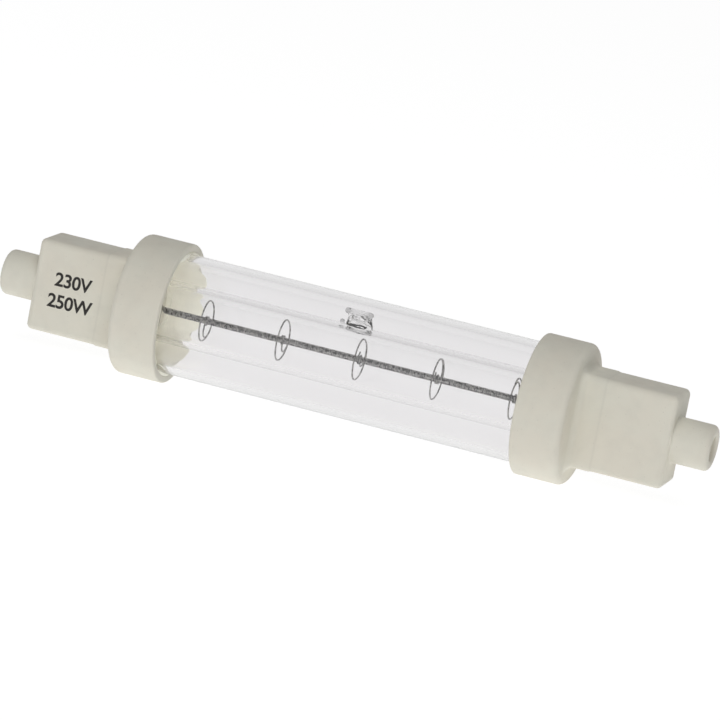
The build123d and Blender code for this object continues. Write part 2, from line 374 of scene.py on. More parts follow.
def trace(name, points):
    """A line of edges through points, drawn by extruding one vertex, left open in edit mode."""
    deselect()
    bpy.ops.mesh.primitive_plane_add(size=MM, location=(0, 0, 0))
    line = bpy.context.object
    line.name = name
    bpy.ops.object.mode_set(mode="EDIT")
    bpy.ops.mesh.select_mode(type="VERT")
    bpy.ops.mesh.merge(type="CENTER")
    bpy.ops.transform.translate(value=points[0])
    for before, after in zip(points, points[1:]):
        step = Vector(after) - Vector(before)
        bpy.ops.mesh.extrude_region_move(TRANSFORM_OT_translate={"value": step})
    return line


def turn_profile(name, profile, steps=128):
    """Spin a profile of (x, radius) points round the lamp's axis into a closed shell."""
    piece = trace(name, [(x, 0, radius) for x, radius in profile])
    bpy.ops.mesh.select_all(action="SELECT")
    bpy.ops.mesh.spin(steps=steps, angle=tau, center=(0, 0, 0), axis=(1, 0, 0))
    bpy.ops.mesh.select_all(action="SELECT")
    bpy.ops.mesh.remove_doubles(threshold=MERGE)
    bpy.ops.mesh.normals_make_consistent(inside=False)
    return close(piece)


def ring_cuts(places):
    """In edit mode, cut a ring of edges at each place along the lamp, on both sides of its middle."""
    for place in places:
        for side in (1, -1):
            bpy.ops.mesh.select_all(action="SELECT")
            bpy.ops.mesh.bisect(plane_co=(side * place, 0, 0), plane_no=(1, 0, 0))


def arc(centre_x, centre_r, radius, start, sweep, steps=8):
    """Points of an arc in a profile, with angles in degrees from the X axis to the radius."""
    turns = [radians(start + sweep * step / steps) for step in range(steps + 1)]
    return [(centre_x + radius * cos(turn), centre_r + radius * sin(turn)) for turn in turns]


def from_axis(at):
    """Direction of a point from the lamp's axis."""
    return Vector((0, at.y, at.z)).normalized()


def eased(share):
    """A share from 0 to 1 that starts and ends gently."""
    return 0.5 - 0.5 * cos(pi * share)


def apply_modifier(piece, kind, **settings):
    """Add one modifier with its settings and apply it."""
    choose(piece)
    modifier = piece.modifiers.new(kind.lower(), kind)
    for setting, value in settings.items():
        setattr(modifier, setting, value)
    bpy.ops.object.modifier_apply(modifier=modifier.name)


def mesh_box(piece):
    """Lowest and highest place of a piece's mesh on each axis."""
    spots = [vertex.co for vertex in piece.data.vertices]
    if not spots:
        raise RuntimeError(f"{piece.name} has come out empty")
    return [(min(spot[axis] for spot in spots), max(spot[axis] for spot in spots)) for axis in range(3)]


def combine(piece, other, operation):
    """Apply a boolean with another shell, make sure that a union took it in, and delete it."""
    apply_modifier(piece, "BOOLEAN", object=other, operation=operation, solver="EXACT")
    if operation == "UNION":
        for (low, high), (other_low, other_high) in zip(mesh_box(piece), mesh_box(other)):
            if low > other_low + MERGE or high < other_high - MERGE:
                raise RuntimeError(f"{other.name} was lost in the union with {piece.name}")
    choose(other)
    bpy.ops.object.delete()


def join(pieces):
    """Join pieces into the first."""
    deselect()
    for piece in pieces:
        piece.select_set(True)
    bpy.context.view_layer.objects.active = pieces[0]
    bpy.ops.object.join()
    return pieces[0]


def smooth(piece, limit=35.0):
    """Shade smooth up to an angle in degrees."""
    choose(piece)
    bpy.ops.object.shade_smooth_by_angle(angle=radians(limit))


def turned_copy(piece, name):
    """A copy with its own mesh, turned half round about Y to the lamp's other end."""
    choose(piece)
    bpy.ops.object.duplicate(linked=False)
    copy = bpy.context.object
    bpy.ops.transform.rotate(value=pi, orient_axis="Y", center_override=(0, 0, 0))
    return close(copy, name)


def seat(piece, material, slot, *nodes):
    """Give a piece its material and its body, and hide the nodes that it stands for; the slot is not used.
    """
    piece.data.materials.clear()
    piece.data.materials.append(material)
    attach(piece, BODY)
    if nodes:
        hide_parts(*nodes)


# Tools for materials

def new_group(name, inputs, outputs):
    """An empty shader node group with float, colour or vector sockets."""
    kinds = {"value": "NodeSocketFloat", "colour": "NodeSocketColor", "vector": "NodeSocketVector"}
    group = bpy.data.node_groups.new(name, "ShaderNodeTree")
    for socket, kind, default in inputs:
        made = group.interface.new_socket(socket, in_out="INPUT", socket_type=kinds[kind])
        if default is not None:
            made.default_value = default
    for socket, kind in outputs:
        group.interface.new_socket(socket, in_out="OUTPUT", socket_type=kinds[kind])
    source = group.nodes.new("NodeGroupInput")
    result = group.nodes.new("NodeGroupOutput")
    return group, source, result


def feed(tree, target, value):
    """Link a socket to an input, or set the input's value."""
    if isinstance(value, bpy.types.NodeSocket):
        tree.links.new(value, target)
    else:
        target.default_value = value


def find_node(tree, kind):
    """The first node of a kind."""
    return next(node for node in tree.nodes if node.type == kind)


def add_node(tree, kind, settings=(), **inputs):
    """A node with its settings, and inputs that are values or sockets to link from."""
    node = tree.nodes.new(kind)
    for setting, value in dict(settings).items():
        setattr(node, setting, value)
    for socket, value in inputs.items():
        feed(tree, node.inputs[socket.replace("_", " ")], value)
    return node


def mixed(tree, factor, first, second):
    """Colour mixed by a factor."""
    node = tree.nodes.new("ShaderNodeMix")
    node.data_type = "RGBA"
    tree.links.new(factor, node.inputs["Factor"])
    for socket, value in (("A", first), ("B", second)):
        target = next(entry for entry in node.inputs if entry.name == socket and entry.type == "RGBA")
        feed(tree, target, value)
    return next(entry for entry in node.outputs if entry.type == "RGBA")


def calc(tree, operation, first, second=0.0):
    """One step of arithmetic."""
    node = tree.nodes.new("ShaderNodeMath")
    node.operation = operation
    for target, value in zip(node.inputs, (first, second)):
        feed(tree, target, value)
    return node.outputs[0]


def ranged(tree, value, span, result):
    """A value mapped from a span to a result, both given as pairs, and clamped."""
    node = add_node(
        tree, "ShaderNodeMapRange",
        Value=value, From_Min=span[0], From_Max=span[1], To_Min=result[0], To_Max=result[1],
    )
    return node.outputs["Result"]


def noise(tree, vector, scale, detail=4.0, roughness=0.55):
    """Noise at a scale per metre."""
    node = add_node(
        tree, "ShaderNodeTexNoise", Vector=vector, Scale=scale, Detail=detail, Roughness=roughness
    )
    return node.outputs["Fac"]


def clay_body_group():
    """Cloudy tint, specks and grain of fired or set clay."""
    group, source, result = new_group(
        "Clay body",
        (
            ("Vector", "vector", None),
            ("Colour", "colour", (0.7, 0.67, 0.6, 1.0)),
            ("Warm", "value", 0.5),
            ("Grain", "value", 1.0),
        ),
        (("Colour", "colour"), ("Height", "value"), ("Roughness", "value")),
    )
    place = source.outputs["Vector"]
    cloud = noise(group, place, scale=140.0, detail=3.0)
    patch = noise(group, place, scale=420.0, detail=5.0)
    grain = noise(group, place, scale=6500.0, roughness=0.7)
    speck = add_node(group, "ShaderNodeTexVoronoi", Vector=place, Scale=1100.0).outputs["Distance"]
    clouded = ranged(group, cloud, (0.35, 0.65), (0.0, 1.0))
    warmth = calc(group, "MULTIPLY", clouded, source.outputs["Warm"])
    warm = mixed(group, warmth, source.outputs["Colour"], WARM_CLAY)
    shade = mixed(group, ranged(group, patch, (0.45, 0.75), (0.0, 0.10)), warm, SHADED_CLAY)
    pits = ranged(group, speck, (0.03, 0.10), (0.35, 0.0))
    dotted = mixed(group, pits, shade, CLAY_PITS)
    group.links.new(dotted, result.inputs["Colour"])
    rise = calc(group, "MULTIPLY", calc(group, "SUBTRACT", grain, pits), source.outputs["Grain"])
    group.links.new(calc(group, "ADD", rise, calc(group, "MULTIPLY", patch, 0.6)), result.inputs["Height"])
    group.links.new(ranged(group, patch, (0.3, 0.7), (0.52, 0.68)), result.inputs["Roughness"])
    return group


def worked_metal_group():
    """Patchy tint and fine drawing marks of worked wire and turned metal, where on the filament the
    near-black patches are painted shade.
    """
    group, source, result = new_group(
        "Worked metal",
        (
            ("Vector", "vector", None),
            ("Colour", "colour", (0.4, 0.4, 0.4, 1.0)),
            ("Dark", "colour", (0.1, 0.1, 0.1, 1.0)),
            ("Scale", "value", 900.0),
            ("Roughness", "value", 0.4),
        ),
        (("Colour", "colour"), ("Roughness", "value"), ("Height", "value")),
    )
    place = source.outputs["Vector"]
    # On the filament the near-black Dark colour makes these patches painted shade; on other metal they are
    # tarnish.
    tarnish_and_shade = add_node(
        group, "ShaderNodeTexNoise", Vector=place, Scale=source.outputs["Scale"], Detail=4.0, Roughness=0.6
    ).outputs["Fac"]
    marks = noise(group, place, scale=9000.0, detail=2.0)
    dull_and_shade = ranged(group, tarnish_and_shade, (0.45, 0.56), (0.0, 1.0))
    group.links.new(
        mixed(group, dull_and_shade, source.outputs["Colour"], source.outputs["Dark"]), result.inputs["Colour"]
    )
    spread = calc(group, "MULTIPLY", calc(group, "SUBTRACT", tarnish_and_shade, 0.5), 0.35)
    group.links.new(calc(group, "ADD", source.outputs["Roughness"], spread), result.inputs["Roughness"])
    group.links.new(marks, result.inputs["Height"])
    return group


def drawn_glass_group():
    """Faint draw lines along a glass tube and a trace of handling."""
    group, source, result = new_group(
        "Drawn glass",
        (("Vector", "vector", None), ("Haze", "value", 0.02)),
        (("Height", "value"), ("Roughness", "value")),
    )
    stretched = add_node(
        group, "ShaderNodeMapping", Vector=source.outputs["Vector"], Scale=(12.0, 260.0, 260.0)
    ).outputs["Vector"]
    lines = noise(group, stretched, scale=1.0, detail=2.0)
    smear = noise(group, source.outputs["Vector"], scale=160.0)
    group.links.new(lines, result.inputs["Height"])
    smeared = ranged(group, smear, (0.5, 0.75), (0.0, 1.0))
    group.links.new(
        calc(group, "MULTIPLY", smeared, source.outputs["Haze"]), result.inputs["Roughness"]
    )
    return group


def shared_group(name, maker):
    """A node group made on its first use."""
    return bpy.data.node_groups.get(name) or maker()


def new_material(name):
    """A material with its tree, Principled shader and object coordinates."""
    material = bpy.data.materials.new(name)
    material.use_nodes = True
    tree = material.node_tree
    shader = find_node(tree, "BSDF_PRINCIPLED")
    place = tree.nodes.new("ShaderNodeTexCoord").outputs["Object"]
    return material, tree, shader, place


def add_group(tree, group, **inputs):
    """A node group in a material's tree."""
    node = tree.nodes.new("ShaderNodeGroup")
    node.node_tree = group
    for socket, value in inputs.items():
        feed(tree, node.inputs[socket], value)
    return node


def bump(tree, shader, height, distance, strength):
    """Bump from a height into a shader's normal."""
    node = add_node(tree, "ShaderNodeBump", Height=height, Distance=distance, Strength=strength)
    tree.links.new(node.outputs["Normal"], shader.inputs["Normal"])


def rgba(colour_value):
    """A colour property with its alpha."""
    return (*colour_value, 1.0)


def clay_material(name, base, warm, grain, bump_depth, rough_shift):
    """Ceramic or cement: the clay body group on a dry dielectric."""
    material, tree, shader, place = new_material(name)
    body = add_group(
        tree, shared_group("Clay body", clay_body_group),
        Vector=place, Colour=rgba(base), Warm=warm, Grain=grain,
    )
    tree.links.new(body.outputs["Colour"], shader.inputs["Base Color"])
    rough = calc(tree, "ADD", body.outputs["Roughness"], rough_shift)
    tree.links.new(rough, shader.inputs["Roughness"])
    shader.inputs["IOR"].default_value = 1.5
    bump(tree, shader, body.outputs["Height"], bump_depth, strength=0.5)
    return material


def metal_material(name, base, dark, scale, roughness, bump_depth):
    """Tungsten, molybdenum or nickel: the worked metal group on a metal."""
    material, tree, shader, place = new_material(name)
    worked = add_group(
        tree, shared_group("Worked metal", worked_metal_group),
        Vector=place, Colour=rgba(base), Dark=rgba(dark), Scale=scale, Roughness=roughness,
    )
    tree.links.new(worked.outputs["Colour"], shader.inputs["Base Color"])
    tree.links.new(worked.outputs["Roughness"], shader.inputs["Roughness"])
    shader.inputs["Metallic"].default_value = 1.0
    bump(tree, shader, worked.outputs["Height"], bump_depth, strength=0.3)
    return material


def tungsten_material(context):
    """Recrystallised tungsten, shared by the filament and its supports, with near-black patches of painted
    shade among its fine turns.
    """
    made = bpy.data.materials.get("Tungsten")
    colours = context.scene.lamp_colours
    # The near-black dark colour paints shade among the filament's fine turns.
    return made or metal_material(
        "Tungsten", colours.tungsten,
        dark=(0.03, 0.03, 0.03), scale=3200.0, roughness=0.36, bump_depth=0.004 * MM,
    )


def glass_material(name, tint, haze, ripple):
    """Jacket or quartz glass that lets the lamps' light through to what it holds."""
    material, tree, shader, place = new_material(name)
    drawn = add_group(tree, shared_group("Drawn glass", drawn_glass_group), Vector=place, Haze=haze)
    shader.inputs["Base Color"].default_value = rgba(tint)
    shader.inputs["Transmission Weight"].default_value = 1.0
    shader.inputs["IOR"].default_value = 1.46
    tree.links.new(drawn.outputs["Roughness"], shader.inputs["Roughness"])
    bump(tree, shader, drawn.outputs["Height"], ripple, strength=0.2)
    rays = tree.nodes.new("ShaderNodeLightPath")
    clear = tree.nodes.new("ShaderNodeBsdfTransparent")
    clear.inputs["Color"].default_value = WHITE
    passing = calc(tree, "MAXIMUM", rays.outputs["Is Shadow Ray"], rays.outputs["Is Diffuse Ray"])
    blend = tree.nodes.new("ShaderNodeMixShader")
    tree.links.new(passing, blend.inputs["Fac"])
    tree.links.new(shader.outputs["BSDF"], blend.inputs[1])
    tree.links.new(clear.outputs["BSDF"], blend.inputs[2])
    output = find_node(tree, "OUTPUT_MATERIAL")
    tree.links.new(blend.outputs["Shader"], output.inputs["Surface"])
    return material


def painted_shade_line(material, place, width, depth):
    """Darken clay in a line round both caps: painted shade in the crease at the root's end."""
    tree = material.node_tree
    shader = find_node(tree, "BSDF_PRINCIPLED")
    spot = find_node(tree, "TEX_COORD").outputs["Object"]
    along = calc(tree, "ABSOLUTE", add_node(tree, "ShaderNodeSeparateXYZ", Vector=spot).outputs["X"])
    off = calc(tree, "ABSOLUTE", calc(tree, "SUBTRACT", along, place))
    line = ranged(tree, off, (0.0, width), (depth, 0.0))
    clean = shader.inputs["Base Color"].links[0].from_socket
    tree.links.new(mixed(tree, line, clean, BLACK), shader.inputs["Base Color"])


def shaded_quartz(context):
    """Burner glass greyed along the exhaust tip's seam and on the drop beside it, painted shade for their
    darker look.
    """
    colours = context.scene.lamp_colours
    sizes = context.scene.lamp_glass
    material = glass_material("Quartz glass", colours.quartz, haze=0.005, ripple=0.0001 * MM)
    tree = material.node_tree
    shader = find_node(tree, "BSDF_PRINCIPLED")
    place = find_node(tree, "TEX_COORD").outputs["Object"]
    across = add_node(tree, "ShaderNodeMapping", Vector=place, Scale=(0.0, 1.0, 1.0)).outputs["Vector"]
    radius = add_node(
        tree, "ShaderNodeVectorMath", (("operation", "LENGTH"),), Vector=across
    ).outputs["Value"]
    start = sizes.burner_radius + sizes.shade_start * sizes.tip_height
    full = sizes.burner_radius + sizes.shade_full * sizes.tip_height
    seam = ranged(tree, radius, (start, full), (0.0, 1.0))
    along = add_node(tree, "ShaderNodeSeparateXYZ", Vector=place).outputs["X"]
    from_middle = calc(tree, "ABSOLUTE", calc(tree, "SUBTRACT", along, sizes.tip_place - sizes.tip_drift))
    paler = sizes.shade_span * sizes.knob_reach
    ends = ranged(tree, from_middle, (paler, sizes.knob_reach), (sizes.shade_middle, 1.0))
    from_drop = calc(tree, "ABSOLUTE", calc(tree, "SUBTRACT", along, sizes.tip_place - sizes.drop_reach))
    fade = (sizes.drop_edge * sizes.drop_radius, sizes.drop_radius)
    near_drop = ranged(tree, from_drop, fade, (1.0, 0.0))
    rise = (sizes.burner_radius, sizes.burner_radius + sizes.drop_radius / 2)
    proud = ranged(tree, radius, rise, (0.0, 1.0))
    # Painted shade: grey tint on the tip's seam and on the drop beside it.
    tip_shade = calc(
        tree, "MAXIMUM", calc(tree, "MULTIPLY", seam, ends), calc(tree, "MULTIPLY", near_drop, proud)
    )
    greyed = mixed(tree, tip_shade, rgba(colours.quartz), rgba(colours.tip_shade_colour))
    tree.links.new(greyed, shader.inputs["Base Color"])
    return material


def ink_material(base):
    """Stamped print with a worn, uneven film."""
    material, tree, shader, place = new_material("Rating ink")
    film = noise(tree, place, scale=2600.0, detail=5.0, roughness=0.7)
    worn = mixed(tree, ranged(tree, film, (0.58, 0.75), (0.0, 0.5)), rgba(base), WORN_INK)
    tree.links.new(worn, shader.inputs["Base Color"])
    tree.links.new(ranged(tree, film, (0.3, 0.7), (0.45, 0.7)), shader.inputs["Roughness"])
    return material


# Operators

class LAMP_OT_end_caps(bpy.types.Operator):
    """Model the ceramic caps: flange cup, block with its root, and nose"""

    bl_idname = "lamp.end_caps"
    bl_label = "End Caps"

    def execute(self, context):
        sizes = context.scene.lamp_caps
        cap = self.flange(sizes)
        combine(cap, self.block(sizes), "UNION")
        combine(cap, self.nose(sizes), "UNION")
        combine(cap, self.slot(sizes), "DIFFERENCE")
        combine(cap, self.lead_hole(sizes), "DIFFERENCE")
        smooth(cap, limit=40.0)
        apply_modifier(cap, "WEIGHTED_NORMAL", keep_sharp=True, weight=60)
        close(cap, "right_cap_ceramic")
        other = turned_copy(cap, "left_cap_ceramic")
        colours = context.scene.lamp_colours
        ceramic = clay_material(
            "Fired ceramic", colours.ceramic, warm=0.22, grain=0.5, bump_depth=0.03 * MM, rough_shift=0.0
        )
        root_end = sizes.mouth + sizes.flange_length + sizes.root_length
        # Painted shade: a dark line where the root steps down onto the block.
        painted_shade_line(ceramic, root_end, sizes.shade_line_width, depth=0.05)
        seat(cap, ceramic, "cap_ceramic", "right_end_cap")
        seat(other, ceramic, "cap_ceramic", "left_end_cap")
        return {"FINISHED"}

    def flange(self, sizes):
        """Cup with a rounded back edge and an eased mouth."""
        back = sizes.mouth + sizes.flange_length
        floor = sizes.mouth + sizes.socket_depth
        edge = sizes.flange_edge
        ease = sizes.mouth_edge
        profile = [(back, 0.0)]
        profile += arc(back - edge, sizes.flange_radius - edge, edge, 0, 90)
        profile += arc(sizes.mouth + ease, sizes.flange_radius - ease, ease, 90, 90, steps=5)
        profile += arc(sizes.mouth + ease, sizes.socket_radius + ease, ease, 180, 90, steps=5)
        profile += arc(floor - ease, sizes.socket_radius - ease, ease, 90, -90, steps=5)
        profile += [(floor, 0.0)]
        return turn_profile("flange", profile)

    def block(self, sizes):
        """Rounded block that grows into its root and flares onto the flange."""
        back = sizes.mouth + sizes.flange_length
        root_end = back + sizes.root_length
        block_end = sizes.nose_end - sizes.nose_length
        half_y = sizes.block_thickness / 2
        half_z = sizes.block_height / 2
        deselect()
        bpy.ops.mesh.primitive_cube_add(size=1, location=(0, 0, 0))
        block = bpy.context.object
        edit(block)
        bpy.ops.transform.resize(
            value=(block_end - root_end, 2 * half_y, 2 * half_z), center_override=(0, 0, 0)
        )
        bpy.ops.transform.translate(value=((block_end + root_end) / 2, 0, 0))
        pick("edges", lambda a, b: abs(a.x - b.x) > MM)
        bpy.ops.mesh.bevel(offset=sizes.block_edge, segments=8, affect="EDGES")
        pick("edges", lambda a, b: min(a.x, b.x) > block_end - MERGE)
        bpy.ops.mesh.bevel(offset=sizes.block_end_edge, segments=7, affect="EDGES")
        pick("faces", lambda centre, normal: centre.x < root_end + MERGE and normal.x < -FACING)
        sections = [(root_end - sizes.root_slope, sizes.root_step)]
        fillet = sizes.root_fillet
        fillet_steps = 8
        for step in range(fillet_steps + 1):
            turn = radians(90 * step / fillet_steps)
            sections.append((back + fillet * (1 - sin(turn)), sizes.root_step + fillet * (1 - cos(turn))))
        sections.append((back - fillet / 2, sizes.root_step + fillet))
        here = (root_end, 0.0)
        for x, out in sections:
            bpy.ops.mesh.extrude_region_move(TRANSFORM_OT_translate={"value": (x - here[0], 0, 0)})
            grow = (1, (half_y + out) / (half_y + here[1]), (half_z + out) / (half_z + here[1]))
            bpy.ops.transform.resize(value=grow, center_override=(0, 0, 0))
            here = (x, out)
        bpy.ops.mesh.select_all(action="SELECT")
        bpy.ops.mesh.normals_make_consistent(inside=False)
        return close(block)

    def nose(self, sizes):
        """Nose with its recess and the bore for the contact."""
        block_end = sizes.nose_end - sizes.nose_length
        fillet = sizes.nose_fillet
        edge = sizes.nose_edge
        ease = sizes.recess_edge
        bore = button_high.z
        sunk = block_end - CUT_OVERLAP
        profile = [(sunk, 0.0), (sunk, sizes.nose_radius + fillet)]
        profile += arc(block_end + fillet, sizes.nose_radius + fillet, fillet, 180, 90, steps=5)
        profile += arc(sizes.nose_end - edge, sizes.nose_radius - edge, edge, 90, -90, steps=6)
        profile += arc(sizes.nose_end - ease, sizes.recess_radius + ease, ease, 0, -90, steps=6)
        profile += [(sizes.nose_end - sizes.recess_depth, sizes.recess_radius)]
        profile += [(sizes.nose_end - sizes.recess_depth, bore), (button_low.x, bore), (button_low.x, 0.0)]
        return turn_profile("nose", profile, steps=96)

    def slot(self, sizes):
        """Cutter for the pinch seal's slot."""
        floor = sizes.mouth + sizes.socket_depth
        deselect()
        bpy.ops.mesh.primitive_cube_add(size=1, location=(0, 0, 0))
        slot = bpy.context.object
        edit(slot)
        run = sizes.slot_depth + CUT_OVERLAP
        bpy.ops.transform.resize(
            value=(run, sizes.slot_thickness, sizes.slot_height), center_override=(0, 0, 0)
        )
        bpy.ops.transform.translate(value=(floor + sizes.slot_depth - run / 2, 0, 0))
        pick("edges", lambda a, b: abs(a.x - b.x) > MM)
        bpy.ops.mesh.bevel(offset=sizes.slot_corner, segments=5, affect="EDGES")
        return close(slot)

    def lead_hole(self, sizes):
        """Cutter for the lead's hole from the slot to the contact."""
        start = sizes.mouth + sizes.socket_depth + sizes.slot_depth - CUT_OVERLAP
        end = button_low.x + CUT_OVERLAP / 4
        profile = [(start, 0.0), (start, sizes.lead_hole), (end, sizes.lead_hole), (end, 0.0)]
        return turn_profile("lead_hole", profile, steps=32)


class LAMP_OT_outer_jacket(bpy.types.Operator):
    """Model the outer jacket: an open glass tube with eased ends"""

    bl_idname = "lamp.outer_jacket"
    bl_label = "Outer Jacket"

    def execute(self, context):
        sizes = context.scene.lamp_glass
        deselect()
        bpy.ops.mesh.primitive_cylinder_add(
            vertices=384, radius=sizes.jacket_radius, depth=2 * sizes.jacket_half, end_fill_type="NOTHING",
            location=(0, 0, 0), rotation=(0, pi / 2, 0),
        )
        jacket = close(bpy.context.object, "jacket_tube")
        apply_modifier(jacket, "SOLIDIFY", thickness=sizes.jacket_wall, offset=-1.0, use_even_offset=True)
        apply_modifier(
            jacket, "BEVEL", width=sizes.jacket_edge, segments=4, limit_method="ANGLE",
            angle_limit=radians(60),
        )
        edit(jacket)
        ring_cuts([sizes.jacket_half - 3 * sizes.jacket_edge])
        close(jacket)
        smooth(jacket, limit=35.0)
        glass = glass_material(
            "Jacket glass", context.scene.lamp_colours.jacket, haze=0.01, ripple=0.0001 * MM
        )
        seat(jacket, glass, "jacket_glass", "outer_jacket")
        return {"FINISHED"}


class LAMP_OT_burner(bpy.types.Operator):
    """Model the quartz burner: tube, pressed seals, cavity and melted exhaust tip"""

    bl_idname = "lamp.burner"
    bl_label = "Burner"

    def execute(self, context):
        sizes = context.scene.lamp_glass
        shoulder_end = sizes.burner_half - sizes.pinch_length
        shoulder_start = shoulder_end - sizes.shoulder_length
        cavity_end = shoulder_end - sizes.burner_wall
        burner = self.pressed_bar(
            "burner_tube", sizes, sizes.burner_radius, shoulder_start, shoulder_end,
            sizes.burner_half, sizes.pinch_half,
        )
        combine(burner, self.tip(sizes), "UNION")
        drop_height = sizes.burner_radius + sizes.drop_radius / 2
        combine(burner, self.knob(sizes, sizes.drop_radius, -sizes.drop_reach, drop_height), "UNION")
        cavity = self.pressed_bar(
            "cavity", sizes, sizes.burner_radius - sizes.burner_wall, shoulder_start,
            cavity_end - sizes.cavity_half, cavity_end, sizes.cavity_half,
        )
        combine(cavity, self.channel(sizes), "UNION")
        edit(cavity)
        bpy.ops.mesh.select_all(action="SELECT")
        bpy.ops.mesh.flip_normals()
        close(cavity)
        join([burner, cavity])
        smooth(burner, limit=35.0)
        seat(burner, shaded_quartz(context), "quartz_glass", "burner_envelope")
        return {"FINISHED"}

    def pressed_bar(self, name, sizes, radius, start, flat, end, half):
        """A round bar whose ends are pressed flat between two planes, along a smooth shoulder."""
        deselect()
        bpy.ops.mesh.primitive_cylinder_add(
            vertices=160, radius=radius, depth=2 * end, end_fill_type="NGON",
            location=(0, 0, 0), rotation=(0, pi / 2, 0),
        )
        bar = close(bpy.context.object, name)
        rings = 16
        stations = []
        for ring in range(1, rings + 1):
            share = ring / rings
            stations.append((start + share * (flat - start), radius + eased(share) * (half - radius)))
        stations.append((end, half))
        edit(bar)
        guards = [sizes.tip_guard, start - sizes.shoulder_guard, start]
        ring_cuts(guards + [x for x, _ in stations[:-1]])
        for x, limit in stations:
            for side in (1, -1):
                pick("verts", lambda at: abs(abs(at.x) - x) < MERGE and side * at.y > limit - MERGE)
                bpy.ops.transform.resize(value=(1, 0, 1), center_override=(0, side * limit, 0))
        return close(bar)

    def tip(self, sizes):
        """Pinched-off stub of the exhaust tube: a wide foot pressed up to a seam along the lamp."""
        foot = sizes.burner_radius - sizes.burner_wall / 2
        first = TIP_SHAPE[0]
        deselect()
        bpy.ops.mesh.primitive_circle_add(
            vertices=32, radius=sizes.tip_radius, fill_type="NGON", location=(0, 0, foot)
        )
        stub = close(bpy.context.object, "exhaust_tip")
        edit(stub)
        bpy.ops.mesh.select_all(action="SELECT")
        bpy.ops.transform.resize(value=(first[1], first[2], 1), center_override=(0, 0, foot))
        here = (0.0, foot, first[1], first[2])
        for share, long, thick in TIP_SHAPE:
            x = -share * sizes.tip_drift
            z = sizes.burner_radius + share * sizes.tip_height
            step = (x - here[0], 0, z - here[1])
            bpy.ops.mesh.extrude_region_move(TRANSFORM_OT_translate={"value": step})
            bpy.ops.transform.resize(value=(long / here[2], thick / here[3], 1), center_override=(x, 0, z))
            here = (x, z, long, thick)
        waist = sizes.burner_radius + sizes.tip_waist * sizes.tip_height
        seam = sizes.burner_radius + sizes.tip_shoulder * sizes.tip_height
        pick("verts", lambda at: waist < at.z < seam)
        bpy.ops.transform.vertex_random(offset=sizes.tip_rough, uniform=1.0, normal=0.0, seed=4)
        bpy.ops.mesh.select_all(action="SELECT")
        bpy.ops.mesh.normals_make_consistent(inside=False)
        self.lean(stub, sizes)
        apply_modifier(stub, "SUBSURF", levels=2)
        top = sizes.burner_radius + sizes.tip_height - sizes.knob_radius
        for way in (-1, 1):
            reach = way * sizes.knob_reach - sizes.tip_drift
            combine(stub, self.knob(sizes, sizes.knob_radius, reach, top), "UNION")
        return stub

    def knob(self, sizes, radius, reach, height):
        """Rounded end of the pinched seam, or a drop of glass beside the tip."""
        deselect()
        bpy.ops.mesh.primitive_uv_sphere_add(segments=24, ring_count=16, radius=radius, location=(0, 0, 0))
        knob = close(bpy.context.object, "glass_knob")
        edit(knob)
        bpy.ops.mesh.select_all(action="SELECT")
        bpy.ops.transform.translate(value=(reach, 0, height))
        return self.lean(knob, sizes)

    def channel(self, sizes):
        """Hollow that the exhaust tube leaves in the stub, open to the cavity."""
        deselect()
        bpy.ops.mesh.primitive_uv_sphere_add(
            segments=14, ring_count=8, radius=sizes.tip_radius, location=(0, 0, 0)
        )
        hollow = close(bpy.context.object, "tip_channel")
        edit(hollow)
        bpy.ops.mesh.select_all(action="SELECT")
        bpy.ops.transform.resize(value=sizes.channel_shape, center_override=(0, 0, 0))
        lift = sizes.burner_radius - sizes.channel_drop * sizes.tip_height
        bpy.ops.transform.translate(value=(0, 0, lift))
        bpy.ops.transform.vertex_random(offset=sizes.tip_rough, uniform=1.0, normal=0.0, seed=2)
        self.lean(hollow, sizes)
        apply_modifier(hollow, "SUBSURF", levels=2)
        return hollow

    def lean(self, piece, sizes):
        """Turn an upright piece in edit mode to the tip's lean and move it to the tip's place."""
        bpy.ops.mesh.select_all(action="SELECT")
        bpy.ops.transform.rotate(value=-sizes.tip_turn, orient_axis="X", center_override=(0, 0, 0))
        bpy.ops.transform.translate(value=(sizes.tip_place, 0, 0))
        return close(piece)


class LAMP_OT_filament(bpy.types.Operator):
    """Model the wound filament"""

    bl_idname = "lamp.filament"
    bl_label = "Filament"

    def execute(self, context):
        sizes = context.scene.lamp_wire
        wire = sizes.coil_wire / 2
        turns = int((2 * sizes.coil_half - sizes.coil_strand) / sizes.coil_pitch)
        run = turns * sizes.coil_pitch
        deselect()
        bpy.ops.mesh.primitive_circle_add(
            vertices=8, radius=wire, location=(-run / 2, 0, sizes.coil_radius - wire),
            rotation=(pi / 2, 0, 0),
        )
        coil = close(bpy.context.object, "filament_winding")
        edit(coil)
        bpy.ops.transform.resize(
            value=(sizes.coil_strand / sizes.coil_wire, 1, 1), center_override=(-run / 2, 0, 0)
        )
        close(coil)
        apply_modifier(
            coil, "SCREW", axis="X", angle=tau, screw_offset=sizes.coil_pitch, iterations=turns,
            steps=16, render_steps=16, use_smooth_shade=True,
        )
        edit(coil)
        bpy.ops.mesh.select_all(action="SELECT")
        bpy.ops.mesh.remove_doubles(threshold=MERGE)
        bpy.ops.mesh.fill_holes(sides=0)
        bpy.ops.mesh.select_all(action="SELECT")
        bpy.ops.mesh.normals_make_consistent(inside=False)
        close(coil)
        smooth(coil, limit=60.0)
        seat(coil, tungsten_material(context), "tungsten", "filament_coil")
        return {"FINISHED"}


